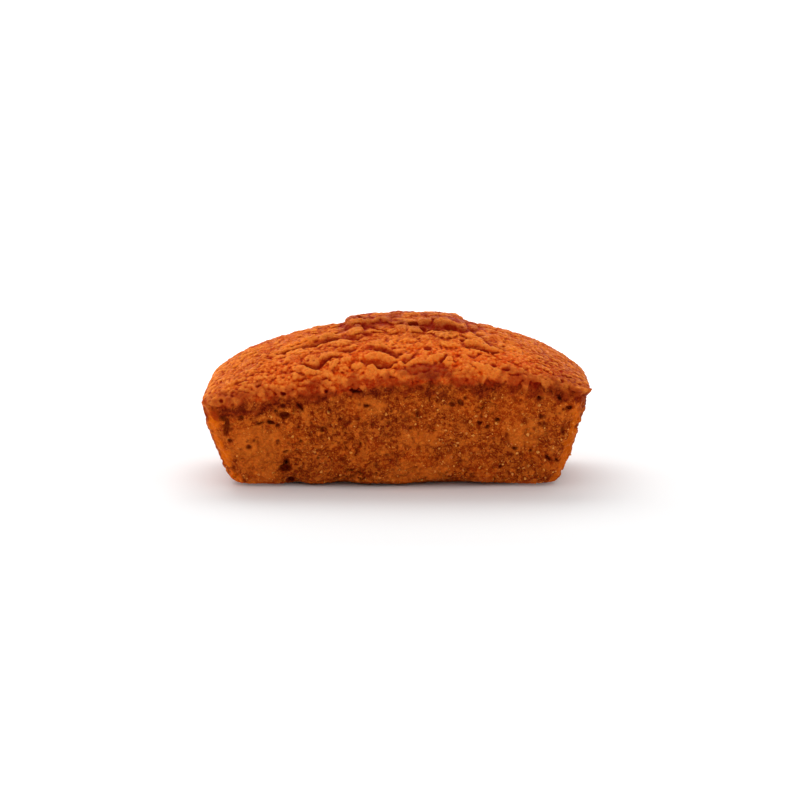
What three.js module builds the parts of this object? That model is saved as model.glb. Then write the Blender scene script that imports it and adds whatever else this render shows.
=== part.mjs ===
// A small almond loaf cake, baked in a tin: four sloping walls under a domed
// crust that has burst along its crest and hangs a little over the walls.
// Millimetres. X runs along the length, Y from front to back, Z up from the base.

import * as THREE from 'three';
import { mergeVertices } from 'three/addons/utils/BufferGeometryUtils.js';

// Overall size, measured over the edge of the crust.
const LENGTH = 88;
const DEPTH = 46;

// The tin's shape, left on the walls.
const END_SPREAD = 5.6; // how far each end wall leans out between base and rim
const SIDE_SPREAD = 6.5; // the same for the front and back walls
const CORNER_RADIUS = 5; // upright corners, seen from above
const BASE_ROUND = 2.8; // rounding of the bottom edge

// The edge of the crust: its height over the base, and how far it juts out.
const RIM_LEFT = 20.6;
const RIM_RIGHT = 23.2;
const RIM_RISE = 4.1; // extra height half way along
const RIM_LEAN = 2; // moves that extra height towards the right-hand end
const LIP_DROP = 2.4; // height of the rolled edge
const LIP_LEFT = 0.5;
const LIP_RIGHT = 1.2;

// The dome over the rim, fuller to the left and rounded off at the edges.
const DOME_LEFT = 11.8;
const DOME_RIGHT = 8;
const DOME_LONG = { power: 2.5, roundness: 0.59 };
const DOME_ACROSS = { power: 2.2, roundness: 0.75 };

// The torn plate of crust that the burst has lifted along the crest, as points
// [x, y] round its edge, anticlockwise from above.
const PLATE_LIFT = 1.5;
const PLATE_EDGE = 1.8; // width of its sloping edge
const PLATE_OUTLINE = [
  [-11, -8], [-4, -8], [4, -6.5], [12, -8], [19, -15], [22, -14], [18, -6],
  [17, 2], [13, 9], [4, 11], [-8, 8], [-12, 1],
];

// Splits that run with the contours of the dome, as points [x, y] along each.
// The ground on the left of a split, looking along it, stands higher by `step`.
const SPLIT_WIDTH = 1.8;
const SPLITS = [
  { points: [[-37, -8], [-29, -9.5], [-20, -10.5], [-13, -11.5]], depth: 0.9, step: 0.9 },
  { points: [[-25, -17], [-16, -17.5], [-7, -19], [2, -18.5]], depth: 0.8, step: 0.7 },
  { points: [[3, -17], [12, -18], [19, -19.5], [25, -20.5]], depth: 0.7, step: 0.5 },
  { points: [[31, -12], [34, -4], [33, 5], [28, 11]], depth: 0.7, step: 0.6 },
  { points: [[33, 13], [22, 15.5], [12, 16.5], [3, 16]], depth: 0.8, step: 0.7 },
  { points: [[-2, 13], [-12, 13.5], [-22, 12], [-33, 8]], depth: 0.9, step: 0.9 },
];

// Broad lumps pushed up in the crust: [x, y, radius, height].
const LUMPS = [
  [-31, -3, 6, 0.6],
  [-20, 2, 7, 0.5],
  [-16, -15, 5, 0.6],
  [-4, -14, 4, 0.8],
  [8, -13, 5, 0.7],
  [17, -17, 5, 0.6],
  [33, -8, 6, 0.5],
  [30, 5, 7, 0.5],
  [12, 13, 5, 0.7],
  [-12, 15, 5, 0.6],
  [-28, 13, 5, 0.6],
];

// A crumb-sized notch broken from the bottom edge of the front wall.
const NOTCH = { x: -24.5, width: 2.4, height: 4.5, depth: 1.1 };

// Mesh grid over the box that is bent into the cake.
const STEPS_LONG = 48;
const STEPS_ACROSS = 26;
const STEPS_UP = 14;

const { clamp, lerp, smoothstep } = THREE.MathUtils;

// A point of the square ring |u| or |v| = 1, moved to a round-cornered rectangle.
function onPlan(u, v, halfLength, halfDepth, radius) {
  const point = new THREE.Vector2(u * halfLength, v * halfDepth);
  const centre = new THREE.Vector2(
    clamp(point.x, radius - halfLength, halfLength - radius),
    clamp(point.y, radius - halfDepth, halfDepth - radius),
  );
  return point.sub(centre).setLength(radius).add(centre);
}

function rimHeight(u) {
  const alongEnds = lerp(RIM_LEFT, RIM_RIGHT, (u + 1) / 2);
  return alongEnds + (RIM_RISE + RIM_LEAN * u) * (1 - u * u);
}

function lipReach(u) {
  return lerp(LIP_LEFT, LIP_RIGHT, (u + 1) / 2);
}

function domeShare(t, { power, roundness }) {
  return Math.max(0, 1 - Math.abs(t) ** power) ** roundness;
}

function smoothPath(points, closed) {
  const stations = points.map(([x, y]) => new THREE.Vector3(x, y, 0));
  return new THREE.CatmullRomCurve3(stations, closed).getPoints(6 * points.length);
}

// How far a point lies from a path of points, on which side of the path
// (1 on the left, -1 on the right), and at what share of the path's length.
function besidePath(path, x, y) {
  let nearest = { distance: Infinity, side: 1, share: 0 };
  for (let i = 1; i < path.length; i += 1) {
    const along = path[i].clone().sub(path[i - 1]);
    const gap = new THREE.Vector3(x, y, 0).sub(path[i - 1]);
    const share = clamp(gap.dot(along) / along.lengthSq(), 0, 1);
    gap.addScaledVector(along, -share);
    if (gap.length() < nearest.distance) {
      nearest = {
        distance: gap.length(),
        side: along.cross(gap).z < 0 ? -1 : 1,
        share: (i - 1 + share) / (path.length - 1),
      };
    }
  }
  return nearest;
}

const platePath = smoothPath(PLATE_OUTLINE, true);
const splits = SPLITS.map((split) => ({ ...split, path: smoothPath(split.points, false) }));

function plateLift(x, y) {
  const { distance, side } = besidePath(platePath, x, y);
  return PLATE_LIFT * smoothstep(side * distance, -PLATE_EDGE / 2, PLATE_EDGE / 2);
}

function splitRelief(x, y) {
  return splits.reduce((sum, { path, depth, step }) => {
    const { distance, side, share } = besidePath(path, x, y);
    const across = distance / SPLIT_WIDTH;
    const groove = -depth * Math.exp(-across * across);
    const ledge = step * side * across * Math.exp(-0.5 * across * across);
    return sum + Math.sin(Math.PI * share) * (groove + ledge);
  }, 0);
}

function lumpRelief(x, y) {
  return LUMPS.reduce((sum, [cx, cy, radius, height]) => {
    const distance = Math.hypot(x - cx, y - cy) / radius;
    return sum + height * Math.exp(-distance * distance);
  }, 0);
}

function crustPoint(u, v) {
  const reach = Math.max(Math.abs(u), Math.abs(v), 1e-9);
  const edge = onPlan(u / reach, v / reach, LENGTH / 2, DEPTH / 2, CORNER_RADIUS);
  const { x, y } = edge.multiplyScalar(reach);
  const rise = lerp(DOME_LEFT, DOME_RIGHT, (u + 1) / 2);
  const dome = rise * domeShare(u, DOME_LONG) * domeShare(v, DOME_ACROSS);
  const inward = smoothstep(1 - reach, 0, 0.15);
  const relief = plateLift(x, y) + lumpRelief(x, y) + splitRelief(x, y);
  return new THREE.Vector3(x, y, rimHeight(u) + dome + inward * relief);
}

// Heights and insets up the wall: the rounded bottom edge, the straight slope,
// then the rolled lip under the crust. `w` runs from 0 at the base to 1 at the rim.
const ROUND_END = 0.28;
const LIP_START = 0.64;

function wallPoint(u, v, w) {
  const rim = rimHeight(u);
  const lip = lipReach(u);
  const slopeTop = rim - LIP_DROP;
  let height = lerp(BASE_ROUND, slopeTop, (w - ROUND_END) / (LIP_START - ROUND_END));
  let inset = lip;
  if (w < ROUND_END) {
    const angle = (Math.PI / 2) * (w / ROUND_END);
    height = BASE_ROUND * (1 - Math.cos(angle));
    inset = lip + BASE_ROUND * (1 - Math.sin(angle));
  } else if (w > LIP_START) {
    const turn = (w - LIP_START) / (1 - LIP_START);
    height = slopeTop + LIP_DROP * turn;
    inset = lip * (1 - Math.sin((Math.PI / 2) * Math.min(1, 1.6 * turn)));
  }
  const lean = 1 - Math.min(1, height / slopeTop);
  const halfLength = LENGTH / 2 - inset - END_SPREAD * lean;
  const halfDepth = DEPTH / 2 - inset - SIDE_SPREAD * lean;
  const { x, y } = onPlan(u, v, halfLength, halfDepth, CORNER_RADIUS - 0.5 * inset);
  return new THREE.Vector3(x, y + notchDepth(x, y, height), height);
}

function notchDepth(x, y, height) {
  if (y > 0 || height > NOTCH.height) return 0;
  const across = (x - NOTCH.x) / NOTCH.width;
  return NOTCH.depth * Math.exp(-across * across) * (1 - height / NOTCH.height);
}

function basePoint(u, v) {
  const reach = Math.max(Math.abs(u), Math.abs(v), 1e-9);
  const edge = wallPoint(u / reach, v / reach, 0);
  return new THREE.Vector3(edge.x * reach, edge.y * reach, 0);
}

function cakeGeometry() {
  const box = new THREE.BoxGeometry(2, 2, 1, STEPS_LONG, STEPS_ACROSS, STEPS_UP);
  box.deleteAttribute('normal');
  box.deleteAttribute('uv');
  const geometry = mergeVertices(box);
  const corners = geometry.getAttribute('position');
  for (let i = 0; i < corners.count; i += 1) {
    const u = corners.getX(i);
    const v = corners.getY(i);
    const w = corners.getZ(i) + 0.5;
    let point = wallPoint(u, v, w);
    if (w > 0.999) point = crustPoint(u, v);
    if (w < 0.001) point = basePoint(u, v);
    corners.setXYZ(i, point.x, point.y, point.z);
  }
  return geometry;
}

// The frame's origin is the middle of the bounding box, on the base.
function centreOnBase(geometry) {
  geometry.computeBoundingBox();
  const middle = geometry.boundingBox.getCenter(new THREE.Vector3());
  geometry.translate(-middle.x, -middle.y, -geometry.boundingBox.min.z);
  geometry.computeVertexNormals();
}

const bakedCrumb = new THREE.MeshStandardMaterial({ color: 0x9a4a14, roughness: 0.6 });

const geometry = cakeGeometry();
centreOnBase(geometry);

const cake = new THREE.Mesh(geometry, bakedCrumb);
cake.name = 'cake';

const group = new THREE.Group();
group.name = 'almond_loaf_cake';
group.add(cake);

export default group;
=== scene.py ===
"""The look of a small almond loaf cake: a moist, porous crumb with pale grains
of ground almond, under a domed crust that has burst and cracked along its crest.

The cake is sculpted as a volume: for each point of a fine grid, the distance to
its surface. Lobes, cracks, pits and pores are worked into that volume, and its
surface is then turned into a mesh. The sculpting is in millimetres in the
frame's own axes, with X along the cake, Y from front to back and Z up.
"""

import functools
import itertools
import math
from concurrent.futures import ThreadPoolExecutor

import bmesh
import bpy
import numpy as np
import openvdb
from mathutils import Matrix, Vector


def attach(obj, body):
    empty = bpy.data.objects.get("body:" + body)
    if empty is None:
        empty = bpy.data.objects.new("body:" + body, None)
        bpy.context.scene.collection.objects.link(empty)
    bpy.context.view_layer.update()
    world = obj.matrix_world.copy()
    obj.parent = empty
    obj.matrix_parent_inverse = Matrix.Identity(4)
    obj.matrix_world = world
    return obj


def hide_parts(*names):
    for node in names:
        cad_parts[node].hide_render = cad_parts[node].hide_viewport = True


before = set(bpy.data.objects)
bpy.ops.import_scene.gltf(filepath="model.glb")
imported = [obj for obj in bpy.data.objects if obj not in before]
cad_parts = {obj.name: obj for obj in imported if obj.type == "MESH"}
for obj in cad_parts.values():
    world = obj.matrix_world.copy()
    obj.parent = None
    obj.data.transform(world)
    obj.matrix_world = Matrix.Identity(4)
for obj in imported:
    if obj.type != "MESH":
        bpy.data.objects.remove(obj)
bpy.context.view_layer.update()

MM = 0.001

# ---------------------------------------------------------------- driving sizes

LENGTH = 88.0  # over the edge of the crust
DEPTH = 46.0
HEIGHT = 38.0  # at most, with the lifted plate
END_SPREAD = 5.6  # how far an end wall leans out between base and rim
SIDE_SPREAD = 6.5
WALL_BELLY = 1.25  # above 1, the walls swell a little half way up
CORNER_RADIUS = 5.0
BASE_ROUND = 2.0

RIM_LEFT = 20.6  # height of the crust's edge at the left end
RIM_RIGHT = 23.2
RIM_RISE = 4.1  # extra height half way along
RIM_LEAN = 2.0  # above 0, more of that extra height is on the right
LIP_DROP = 2.2  # how far under the rim the crust ends and the wall starts
LIP_LEFT = 0.35  # how far the crust stands out over the wall
LIP_RIGHT = 1.2
RIM_FLARE = 0.5  # how far the crust's edge sticks out at the ends
RIM_ROUND = 0.9  # between the crust's top and its edge

DOME_LEFT = 11.8
DOME_RIGHT = 8.0
DOME_POWER_LONG = 2.5  # of the dome's curve, seen from the front
DOME_FALL_LEFT = 0.59  # lower where it falls more steeply at its foot
DOME_FALL_RIGHT = 0.78
DOME_POWER_ACROSS = 2.2
DOME_FALL_ACROSS = 0.75
BACK_SAG = 1.6  # how much lower the crust is at its right-hand back corner

# The plate of crust that was pushed up along the crest, seen from above.
PLATE_LIFT = 1.65
PLATE_OUTLINE = (
    (-11, -4), (-8, -5), (-2, -3.5), (4, -6), (11, -6.5), (17, -4),
    (18, 2), (13, 9), (4, 11), (-8, 8), (-11, 2),
)

# Cracks in the crust: points along each one, then its depth, half width and the
# extra height of the crust on its left-hand side.
CRACKS = (
    (((-27, -11.5), (-21.4, -11.4), (-17, -10.3), (-14, -9.9), (-8.7, -10.5), (-6.5, -9.3)), 1.0, 0.5, 0.9),
    (((-22, -17), (-18, -18.3), (-15.5, -17.2), (-12.5, -17.4)), 1.1, 0.4, 0.8),
    (((-7.8, -18.5), (-5.5, -19.6), (-2.5, -20.1), (-0.2, -19.2)), 1.1, 0.4, 0.7),
    (((-13.5, -15), (-11, -15.3), (-8.5, -15.6)), 0.9, 0.45, 0.6),
    (((-6, -15.6), (-3.5, -15.9), (-1, -17.2), (1, -16.8)), 1.2, 0.5, 0.8),
    (((4.5, -17.5), (2.5, -19.6), (0.4, -19.3)), 0.9, 0.35, 0.3),
    (((11, -18), (10.3, -19.4), (9.3, -20.3)), 0.8, 0.3, 0.0),
    (((15.6, -2.9), (18.2, -8.9), (21.1, -12.4), (24.5, -14.8)), 1.1, 0.6, -0.9),
    (((14.5, -14.2), (18, -15.6), (22.5, -16.2)), 0.9, 0.45, 0.7),
    (((31, -13), (33.5, -8), (32, -2), (33, 3)), 0.4, 0.6, 0.3),
    (((33, 13), (22, 15.5), (12, 16.5), (3, 16)), 1.1, 0.6, 1.0),
    (((-2, 13), (-12, 13.5), (-22, 12), (-33, 8)), 1.1, 0.6, 1.2),
    (((-8, 18.5), (-16, 18), (-24, 17)), 0.9, 0.45, 0.6),
    (((10, 19.5), (18, 19), (26, 18.6)), 0.9, 0.45, 0.6),
)

# Lobes that stand out of the crust: middle [x, y], half length, half width, turn
# in degrees and rise.
LOBES = (
    ((-9.6, -7.6), 2.0, 2.4, 0, 1.2),
    ((18.4, -13.6), 4.2, 1.2, -20, 1.2),
    ((-17.5, -8.4), 6.0, 1.2, 3, 0.7),
    ((-4.2, -18.4), 3.4, 0.9, -6, 0.9),
    ((3.6, -20.1), 1.7, 0.7, 25, 0.8),
    ((2.3, -18.4), 1.5, 0.6, 0, 0.7),
    ((8.5, -19.3), 2.0, 0.8, 18, 0.8),
    ((11.6, -20.0), 1.2, 0.9, 0, 0.7),
    ((18.8, -20.9), 2.4, 0.6, -8, 0.6),
    ((-11.1, -18.6), 1.6, 1.0, 8, 0.8),
    ((-8.6, -19.9), 1.3, 0.8, 0, 0.8),
    ((-5.6, -20.6), 1.3, 0.7, 0, 0.7),
    ((-13.9, -19.3), 1.4, 0.7, 12, 0.7),
    ((-18.9, -19.9), 1.9, 0.7, 15, 0.6),
)

# Pits in the crust: [x, y], then half length, half width and depth.
PITS = (
    ((-7.8, -0.8), 1.3, 0.9, 1.0),
    ((3.7, -6.4), 1.4, 0.8, 1.1),
    ((5.9, -8.3), 0.8, 0.7, 0.9),
    ((12.1, -7.4), 1.5, 0.7, 1.3),
    ((15.0, -12.8), 0.9, 0.7, 1.1),
    ((-6.7, -9.2), 1.2, 0.7, 1.2),
    ((6.9, -16.6), 0.9, 0.8, 1.2),
    ((21.6, -20.4), 0.6, 0.5, 1.0),
    ((17.2, -18.6), 0.4, 0.4, 0.7),
    ((24.6, -21.1), 0.5, 0.4, 0.7),
    ((-28.9, -12.5), 0.8, 0.5, 0.8),
    ((-32.4, -17.6), 0.5, 0.4, 0.7),
    ((5.0, 7.5), 2.0, 1.0, 1.2),
    ((-4.0, 10.5), 1.6, 0.8, 1.0),
    ((14.0, 12.0), 1.5, 0.8, 1.0),
)

# Open pores in the front wall: [x, z], then half length, half width and turn in
# degrees.
PORES = (
    ((-25.0, 17.7), 1.2, 0.7, 0), ((-28.1, 16.0), 0.7, 0.4, 0), ((-26.6, 15.3), 0.5, 0.4, 0),
    ((-39.1, 21.0), 0.5, 0.4, 70), ((-38.7, 17.0), 0.8, 0.6, 20), ((-34.6, 17.2), 0.5, 0.4, 60),
    ((-38.1, 14.2), 0.6, 2.8, 8), ((-37.3, 11.6), 0.6, 0.4, 20), ((-33.2, 10.0), 0.6, 0.5, 0),
    ((-32.0, 11.5), 0.4, 0.4, 0), ((-30.6, 15.7), 0.9, 0.2, -20), ((-27.0, 18.7), 0.3, 0.3, 0),
    ((-25.2, 22.6), 0.6, 0.35, 0), ((-26.7, 11.4), 0.4, 0.4, 0), ((-25.2, 8.8), 0.4, 0.3, 0),
    ((-21.6, 19.6), 1.1, 0.25, 50), ((-9.3, 23.2), 1.4, 0.3, 12), ((-15.7, 23.2), 0.4, 0.4, 0),
    ((-12.7, 16.7), 0.4, 0.35, 0), ((-16.7, 14.3), 0.5, 0.7, 30), ((-6.8, 19.8), 0.6, 0.3, 0),
    ((-5.5, 15.3), 0.5, 0.4, 40), ((4.6, 17.9), 0.5, 0.7, 0), ((12.3, 20.1), 0.7, 0.5, 30),
    ((14.2, 20.4), 0.8, 0.5, 40), ((15.2, 21.6), 0.4, 0.4, 0), ((18.4, 15.7), 0.5, 0.35, 60),
    ((20.2, 14.8), 0.5, 0.25, -50), ((22.4, 16.4), 0.6, 0.35, 0), ((31.7, 21.6), 0.5, 0.4, 0),
    ((36.2, 21.6), 0.6, 0.35, 60), ((32.1, 17.2), 0.3, 0.6, 0), ((38.5, 19.3), 0.6, 0.4, -30),
    ((37.2, 13.6), 0.5, 1.0, -10), ((26.4, 9.6), 0.4, 0.35, 0), ((30.0, 9.0), 0.4, 0.35, 0),
    ((34.1, 7.1), 1.0, 0.35, 50), ((14.3, 6.3), 0.4, 0.35, 0), ((23.3, 5.1), 0.4, 0.4, 0),
)

# Pale, drier patches of crumb in the front wall: [x, z], half width, half height.
PALE_PATCHES = (
    ((15.2, 14.0), 0.7, 1.4), ((-14.5, 10.6), 1.3, 1.0), ((25.8, 22.3), 1.3, 0.5),
    ((5.5, 12.0), 4.0, 2.4), ((-5.0, 20.0), 4.0, 2.2), ((29.0, 12.5), 5.0, 3.5),
    ((-31.0, 9.0), 7.0, 8.0), ((3.0, 3.5), 9.0, 2.5),
)

# Patches where the skin is torn off and redder crumb shows, in the same form.
TORN_PATCHES = (
    ((-16.7, 13.0), 4.5, 3.2), ((13.5, 20.3), 2.6, 1.4), ((-37.5, 19.0), 3.0, 2.0), ((6.0, 21.5), 7.0, 1.8),
)

# The chip broken from the bottom edge of the front wall: [x, z] and three radii
# for each of the hollows it is made of.
NOTCH = (((-24.9, 6.0), (0.8, 2.4, 1.0)), ((-25.2, 4.7), (1.5, 2.6, 0.9)), ((-24.0, 1.2), (1.3, 3.2, 1.3)))

# Where the bottom edge of the front wall stands clear of the table: x, half width
# and height.
BASE_GAPS = ((-22.6, 1.5, 0.9), (-12.0, 2.6, 0.7), (12.0, 7.5, 1.1))

# How many small pores are strewn over each face, besides those listed above.
FRONT_PORES = 110
BACK_PORES = 190
END_PORES = 90
BASE_PORES = 160
CRUST_PORES = 90

GRIT_COUNT = 900  # grains of ground almond
GRIT_SIZES = (0.1, 0.36)  # their radii

SPACING = 0.25  # of the sculpting grid
CRUST_REACH = 3.0  # how far from the plain cake's surface the crust is sculpted
WALL_REACH = 1.2
CREASE_RADIUS = 0.6  # of the surroundings that tell creases from ridges
DIP_RADIUS = 1.75  # of those that tell broad dips from humps

# ---------------------------------------------------------------- small maths


def blend(low, high, value):
    """0 below `low`, 1 above `high`, and a smooth step between."""
    share = np.clip((value - low) / (high - low), 0, 1)
    return share * share * (3 - 2 * share)


def mix(first, second, share):
    return first + (second - first) * share


def bell(value, width):
    return np.exp(-((value / width) ** 2))


def rounded_max(first, second, radius):
    """The larger of two distances, with the edge between them rounded off."""
    return 0.5 * (first + second + np.sqrt((first - second) ** 2 + radius**2))


LATTICE = 64  # random tables repeat after this many cells
CELL_CORNERS = [np.array(step, dtype=np.int32) for step in itertools.product((0, 1), repeat=3)]
NEAR_CELLS = [np.array(step, dtype=np.int32) for step in itertools.product((-1, 0, 1), repeat=3)]


@functools.cache
def random_table(seed, columns):
    """Random values from 0 to 1, a row of them for each cell of the lattice."""
    return np.random.default_rng(seed).uniform(0, 1, (LATTICE**3, columns)).astype(np.float32)


def cell_index(cell):
    """The row of a random table for each cell."""
    wrapped = cell & (LATTICE - 1)
    return (wrapped[:, 0] * LATTICE + wrapped[:, 1]) * LATTICE + wrapped[:, 2]


def soft_noise(points, size, seed):
    """Smooth random values from -1 to 1, changing over about `size` millimetres."""
    table = random_table(seed, 1)[:, 0]
    scaled = points / np.float32(size)
    cell = np.floor(scaled).astype(np.int32)
    part = scaled - cell
    part = part * part * (3 - 2 * part)
    total = np.zeros(len(points), dtype=np.float32)
    for step in CELL_CORNERS:
        near = np.where(step, part, 1 - part)
        weight = near[:, 0] * near[:, 1] * near[:, 2]
        total += weight * table[cell_index(cell + step)]
    return 2 * total - 1


HEAP_SOFTNESS = 12.0  # higher for sharper creases between the balls


def heap(points, size, seed):
    """How high a heap of soft balls of many sizes stands at each point, from about
    -0.2 to 0.2."""
    table = random_table(seed, 4)
    scaled = points / np.float32(size)
    home = np.floor(scaled).astype(np.int32)
    total = np.zeros(len(points), dtype=np.float32)
    for step in NEAR_CELLS:
        cell = home + step
        ball = table[cell_index(cell)]
        gap = ball[:, :3] + cell - scaled
        total += np.exp(HEAP_SOFTNESS * (0.35 * ball[:, 3] - np.einsum("ij,ij->i", gap, gap)))
    return np.log(total) / HEAP_SOFTNESS - 0.1


def winding_noise(points, size, seed):
    """Smooth random values, about -1 to 1, that are 0 along winding lines."""
    table = random_table(seed, 3)
    scaled = points / np.float32(size)
    cell = np.floor(scaled).astype(np.int32)
    part = scaled - cell
    total = np.zeros(len(points), dtype=np.float32)
    for step in CELL_CORNERS:
        gap = part - step.astype(np.float32)
        near = 1 - np.abs(gap)
        near = near * near * (3 - 2 * near)
        weight = near[:, 0] * near[:, 1] * near[:, 2]
        slope = table[cell_index(cell + step)] - 0.5
        total += weight * np.einsum("ij,ij->i", gap, slope)
    return 4 * total + 0.35 * soft_noise(points, 1.3 * size, seed + 50)


def billows(points, size, steepness, seed):
    """Rounded lumps between winding creases: near 0 in a crease, 1 on a lump."""
    return 1 - np.exp(-steepness * np.sqrt(winding_noise(points, size, seed) ** 2 + 0.002))


POINTS_PER_PART = 30000


def on_all_cores(function, points):
    """The values of a function of points, worked out part by part on all cores."""
    parts = np.array_split(points, max(len(points) // POINTS_PER_PART, 1))
    with ThreadPoolExecutor() as pool:
        return np.concatenate(list(pool.map(function, parts)))


# ---------------------------------------------------------------- plain cake


def rim_height(x):
    u = x / (LENGTH / 2)
    return mix(RIM_LEFT, RIM_RIGHT, (u + 1) / 2) + (RIM_RISE + RIM_LEAN * u) * (1 - u * u)


def lip_width(x):
    """The crust's overhang, which is less along the middle of the cake."""
    return mix(LIP_LEFT, LIP_RIGHT, x / LENGTH + 0.5) * (0.5 + 0.5 * np.abs(2 * x / LENGTH))


def lean_share(x, z):
    """How far a wall has drawn in: 0 under the lip, 1 at the base."""
    return np.clip(1 - z / (rim_height(x) - LIP_DROP), 0, 1) ** WALL_BELLY


def dome_height(x, y):
    u = np.clip(x / (LENGTH / 2), -1, 1)
    v = np.clip(y / (DEPTH / 2), -1, 1)
    rise = mix(DOME_LEFT, DOME_RIGHT, (u + 1) / 2)
    fall = mix(DOME_FALL_LEFT, DOME_FALL_RIGHT, blend(0, 1, u))
    along = (1 - np.abs(u) ** DOME_POWER_LONG) ** fall
    across = (1 - np.abs(v) ** DOME_POWER_ACROSS) ** DOME_FALL_ACROSS
    return rise * along * across - BACK_SAG * blend(0.75, 1, u) * blend(0.2, 0.9, v)


def base_height(x, y):
    """The underside, which stands clear of the table in places along its edges."""
    front = sum(height * bell(x - middle, width) for middle, width, height in BASE_GAPS)
    back = sum(height * bell(x + middle, width) for middle, width, height in BASE_GAPS)
    return front * blend(-10, -15, y) + back * blend(10, 15, y)


def ragged_edge(x, y):
    """How far the crust's lower edge hangs down here and there around the cake."""
    along = np.stack([x.ravel(), np.zeros(x.size), np.zeros(x.size)], axis=1)
    across = np.stack([np.zeros(y.size), y.ravel(), np.ones(y.size)], axis=1)
    drips = [1.5 * soft_noise(line, 2.6, 15) + 1.1 * soft_noise(line, 1.1, 16) for line in (along, across)]
    on_sides = blend(14, 19, np.abs(y)) * blend(41, 37, np.abs(x))
    on_ends = blend(39, 42, np.abs(x)) * blend(19, 16, np.abs(y))
    return drips[0].reshape(x.shape) * on_sides + 0.25 * drips[1].reshape(y.shape) * on_ends


def beyond_core(x, y, z, inset):
    """How far points are past the places where the corners start to turn, along X and
    along Y. The inset moves the walls in."""
    lean = lean_share(x, z)
    beside_x = np.abs(x) - (LENGTH / 2 - inset - END_SPREAD * lean - CORNER_RADIUS)
    beside_y = np.abs(y) - (DEPTH / 2 - inset - SIDE_SPREAD * lean - CORNER_RADIUS)
    return beside_x, beside_y


def wall_distance(x, y, z):
    """Distance outside the four walls, with the crust's lip at their top."""
    below_rim = z - rim_height(x) + ragged_edge(x, y)
    at_end = np.abs(2 * x / LENGTH) ** 4
    inset = lip_width(x) * (1 - blend(-LIP_DROP, -LIP_DROP + 1.2 + 1.2 * at_end, below_rim))
    inset = inset - RIM_FLARE * bell(below_rim - 0.2, 1.4) * at_end
    beside_x, beside_y = beyond_core(x, y, z, inset)
    outside = np.hypot(np.maximum(beside_x, 0), np.maximum(beside_y, 0))
    return outside + np.minimum(np.maximum(beside_x, beside_y), 0) - CORNER_RADIUS


def plain_cake(x, y, z):
    """Distance to the cake's surface before any crack, lump or pore."""
    top = rim_height(x) + dome_height(x, y)
    slope_x, slope_y = np.gradient(top[:, :, 0], SPACING)
    steepness = np.sqrt(1 + np.clip(slope_x, -2, 2) ** 2 + np.clip(slope_y, -2, 2) ** 2)
    over_crust = (z - top) / steepness[:, :, None]
    body = rounded_max(wall_distance(x, y, z), over_crust, RIM_ROUND)
    return rounded_max(body, base_height(x, y) - z, BASE_ROUND).astype(np.float32)


# ---------------------------------------------------------------- the grid

MARGIN = 2.0
GRID_X = np.arange(-LENGTH / 2 - MARGIN, LENGTH / 2 + MARGIN, SPACING, dtype=np.float32)
GRID_Y = np.arange(-DEPTH / 2 - MARGIN, DEPTH / 2 + MARGIN, SPACING, dtype=np.float32)
GRID_Z = np.arange(-MARGIN, HEIGHT + MARGIN, SPACING, dtype=np.float32)
GRID_LOW = np.array((GRID_X[0], GRID_Y[0], GRID_Z[0]), dtype=np.float32)

STEPS_PER_SPAN = 8  # of a curve between two of its points


def smooth_path(points, closed=False):
    """A Catmull-Rom curve through plan points."""
    points = np.array(points, dtype=float)
    if closed:
        padded = np.vstack([points[-1], points, points[:2]])
    else:
        padded = np.vstack([2 * points[0] - points[1], points, 2 * points[-1] - points[-2]])
    curve = []
    for a, b, c, d in zip(padded, padded[1:], padded[2:], padded[3:]):
        for t in np.arange(STEPS_PER_SPAN) / STEPS_PER_SPAN:
            bend = (2 * a - 5 * b + 4 * c - d) * t**2 + (3 * b - a - 3 * c + d) * t**3
            curve.append(0.5 * (2 * b + (c - a) * t + bend))
    curve.append(padded[-2])
    return np.array(curve)


def beside_path(path):
    """Over the plan grid: distance from a path, positive on its left, and how far
    along the path the nearest point lies, from 0 to 1."""
    x, y = np.meshgrid(GRID_X, GRID_Y, indexing="ij")
    distance = np.full(x.shape, 2 * LENGTH)
    share_along = np.zeros(x.shape)
    for i, (start, end) in enumerate(zip(path, path[1:])):
        along = end - start
        share = np.clip(((x - start[0]) * along[0] + (y - start[1]) * along[1]) / (along @ along), 0, 1)
        gap_x = x - start[0] - share * along[0]
        gap_y = y - start[1] - share * along[1]
        gap = np.hypot(gap_x, gap_y)
        side = np.where(along[0] * gap_y - along[1] * gap_x < 0, -1, 1)
        nearer = gap < np.abs(distance)
        distance = np.where(nearer, gap * side, distance)
        share_along = np.where(nearer, (i + share) / (len(path) - 1), share_along)
    return distance.astype(np.float32), share_along.astype(np.float32)


PLATE_MAP = beside_path(smooth_path(PLATE_OUTLINE, closed=True))[0]
CRACK_MAPS = [beside_path(smooth_path(points)) for points, *_ in CRACKS]


def plan_index(points):
    """Columns and rows of the plan grid under the given points."""
    column = np.clip(np.rint((points[:, 0] - GRID_X[0]) / SPACING).astype(int), 0, len(GRID_X) - 1)
    row = np.clip(np.rint((points[:, 1] - GRID_Y[0]) / SPACING).astype(int), 0, len(GRID_Y) - 1)
    return column, row


# ---------------------------------------------------------------- the crust


def burst_share(points):
    """1 where the crust has burst into lobes, 0 at the smoother ends."""
    x = points[:, 0] + 3 * soft_noise(points, 8.0, 14)
    return blend(-30, -20, x) * (1 - blend(22, 30, x))


def drift(points, reach):
    """The points moved about a little, so that what is drawn at them turns ragged."""
    moves = [
        reach * soft_noise(points, 3.6, seed) + 0.5 * reach * soft_noise(points, 1.3, seed + 3)
        for seed in (11, 12, 13)
    ]
    return points + np.stack(moves, axis=1)


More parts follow.
